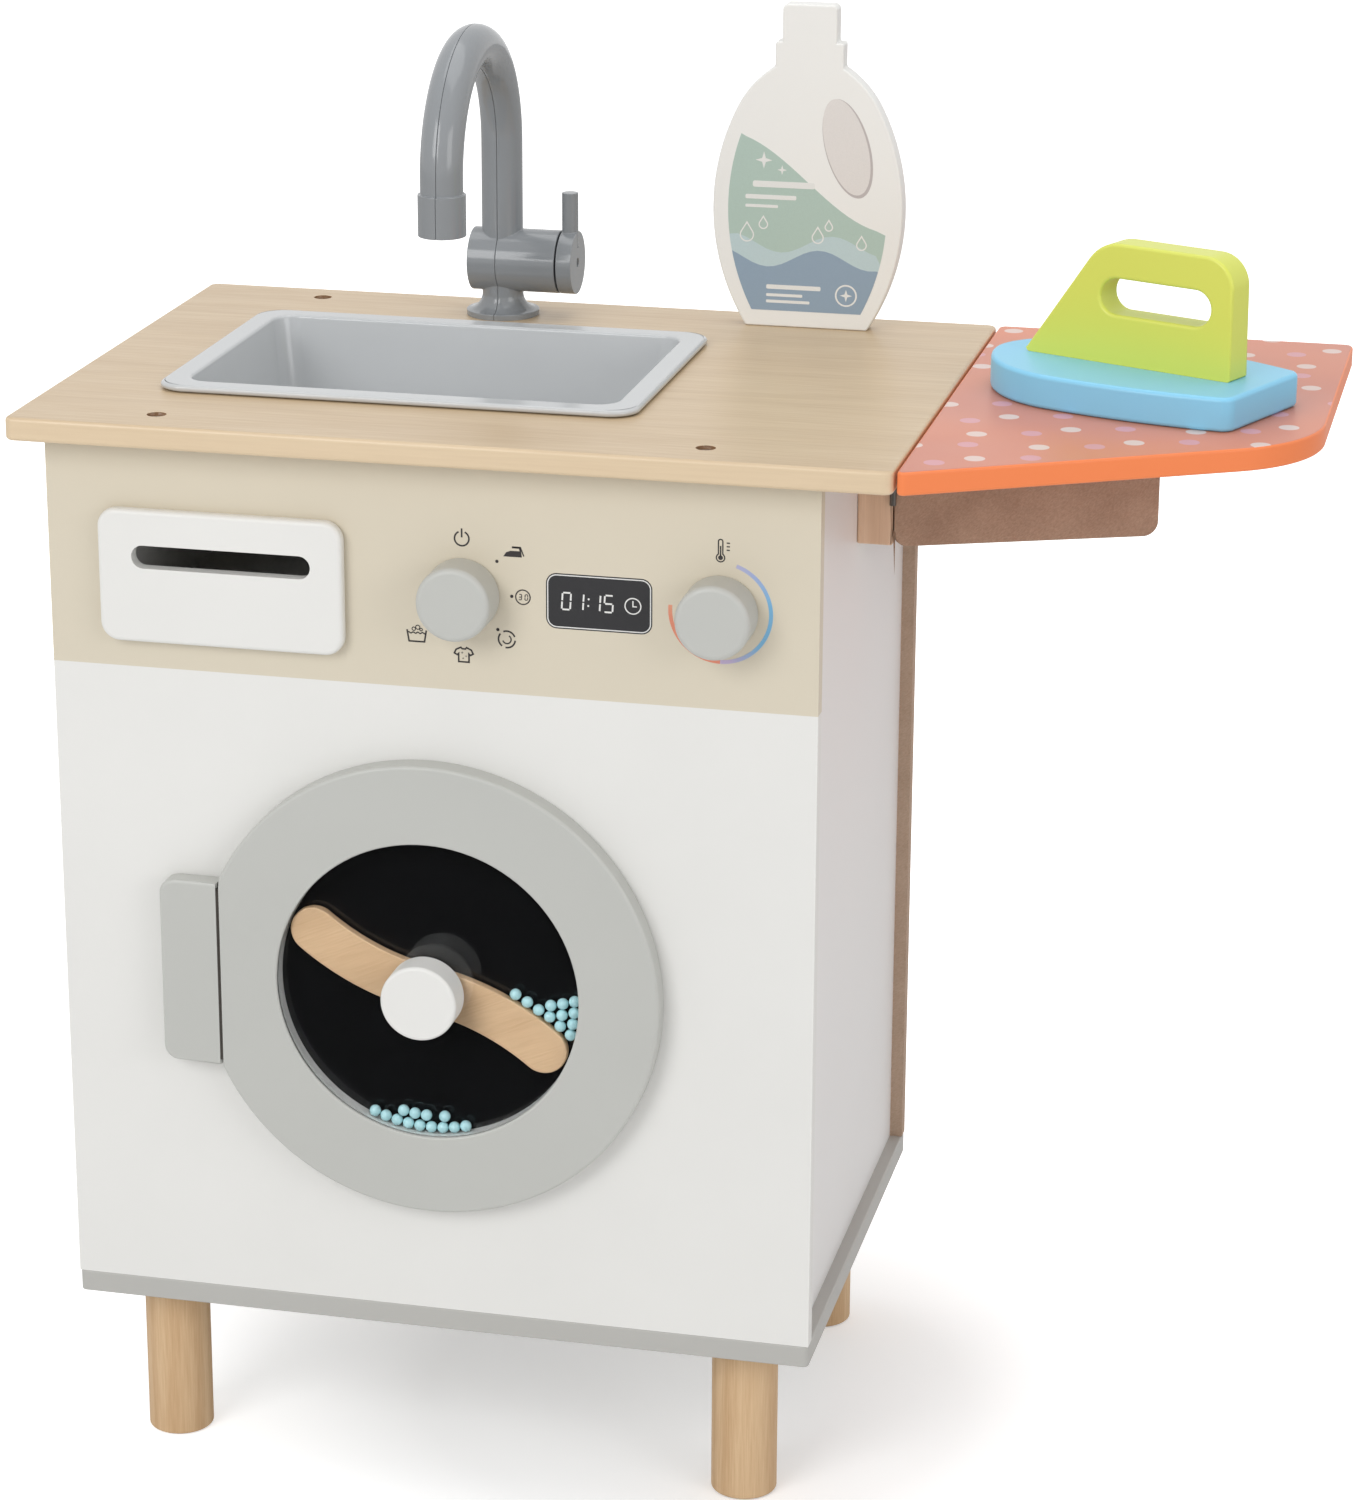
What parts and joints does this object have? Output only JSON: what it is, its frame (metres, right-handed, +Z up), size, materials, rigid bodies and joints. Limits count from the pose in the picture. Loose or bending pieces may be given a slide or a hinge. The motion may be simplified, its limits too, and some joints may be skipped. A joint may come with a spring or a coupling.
{
  "type": "toy washing machine",
  "caption": "Wooden toy washing machine with a sink worktop, hinged window door with a turning paddle, drawer, dials, fold-out ironing board, toy iron and bottle.",
  "frame": {"origin": "centre of the bottom of the whole bounding box, on the floor under the legs", "axes": "+X to the machine's right seen from the front, +Y from the door to the back, +Z up"},
  "size_m": [0.6424, 0.332, 0.7531],
  "materials": {
    "maple_veneer": "satin",
    "steel": "satin",
    "grey_plastic": "gloss",
    "white_paint": "satin paint",
    "raw_fibreboard": "matt",
    "grey_paint": "satin paint",
    "pine": "matt",
    "clear_plastic": "clear",
    "black_plastic": "gloss",
    "bead_plastic": "satin",
    "tap_plastic": "satin",
    "orange_paint": "satin paint",
    "blue_paint": "satin paint",
    "lime_paint": "satin paint"
  },
  "bodies": {
    "cabinet": {"worktop": "maple_veneer", "worktop_screws": "steel", "sink_basin": "grey_plastic", "front_panel": "white_paint", "left_side_panel": "white_paint", "right_side_panel": "white_paint", "back_panel": "raw_fibreboard", "base_panel": "grey_paint", "base_screws": "steel", "front_left_leg": "pine", "front_right_leg": "pine", "back_left_leg": "pine", "back_right_leg": "pine", "leg_bolts": "steel", "door_hinge_block": "grey_paint", "door_hinge_fixed_leaf": "steel", "door_magnet": "steel", "drawer_rails": "pine", "bracket_block": "pine", "bracket_hinge_fixed_leaf": "steel", "board_hinge_worktop_leaves": "steel"},
    "door": {"door_ring": "grey_paint", "window_pane": "clear_plastic", "window_spacer": "grey_plastic", "chamber_back": "black_plastic", "door_hinge_moving_leaf": "steel", "door_strike": "steel"},
    "paddle_wheel": {"paddle": "pine", "paddle_knob": "white_paint", "paddle_shaft": "steel", "paddle_washer": "steel", "beads": "bead_plastic"},
    "programme_dial": {"programme_knob": "grey_paint", "programme_spindle": "steel"},
    "temperature_dial": {"temperature_knob": "grey_paint", "temperature_spindle": "steel"},
    "drawer": {"drawer_front": "white_paint", "drawer_left_side": "white_paint", "drawer_right_side": "white_paint", "drawer_back": "white_paint", "drawer_floor": "white_paint"},
    "faucet": {"faucet_left_half": "tap_plastic", "faucet_right_half": "tap_plastic", "faucet_nut": "grey_plastic"},
    "tap": {"tap_lever": "tap_plastic", "tap_screw": "steel"},
    "bracket": {"support_bracket": "raw_fibreboard", "bracket_hinge_moving_leaf": "steel"},
    "board": {"ironing_board": "orange_paint", "board_hinge_board_leaves": "steel"},
    "iron": {"iron_sole": "blue_paint", "iron_handle": "lime_paint"},
    "bottle": {"detergent_bottle": "white_paint"}
  },
  "joints": [
    {"name": "door_swing", "type": "hinge", "parent": "cabinet", "child": "door", "pos_m": [-0.21915, -0.1497, 0.2865], "axis": [0, 0, -1], "range_deg": [0, 105]},
    {"name": "paddle_spin", "type": "hinge", "parent": "door", "child": "paddle_wheel", "pos_m": [-0.10825, -0.14305, 0.2865], "axis": [0, 1, 0], "continuous": true},
    {"name": "programme_turn", "type": "hinge", "parent": "cabinet", "child": "programme_dial", "pos_m": [-0.08975, -0.14805, 0.4965], "axis": [0, 1, 0], "continuous": true},
    {"name": "temperature_turn", "type": "hinge", "parent": "cabinet", "child": "temperature_dial", "pos_m": [0.04125, -0.14805, 0.4965], "axis": [0, 1, 0], "continuous": true},
    {"name": "drawer_slide", "type": "slide", "parent": "cabinet", "child": "drawer", "axis": [0, -1, 0], "range_m": [0, 0.11]},
    {"name": "faucet_swivel", "type": "hinge", "parent": "cabinet", "child": "faucet", "pos_m": [-0.14025, 0.12945, 0.6], "axis": [0, 0, 1], "range_deg": [-75, 75]},
    {"name": "lever_turn", "type": "hinge", "parent": "faucet", "child": "tap", "pos_m": [-0.102, 0.12945, 0.6084], "axis": [1, 0, 0], "range_deg": [-90, 90]},
    {"name": "bracket_swing", "type": "hinge", "parent": "cabinet", "child": "bracket", "pos_m": [0.10265, -0.00485, 0.533], "axis": [0, 0, 1], "range_deg": [-112.5, 0]},
    {"name": "board_lift", "type": "hinge", "parent": "cabinet", "child": "board", "pos_m": [0.1295, 0.00195, 0.56775], "axis": [0, -1, 0], "range_deg": [0, 5]},
    {"name": "iron_lift", "type": "slide", "parent": "board", "child": "iron", "axis": [0, 0, 1], "range_m": [0, 0.15]},
    {"name": "bottle_lift", "type": "slide", "parent": "cabinet", "child": "bottle", "axis": [0, 0, 1], "range_m": [0, 0.15]}
  ]
}
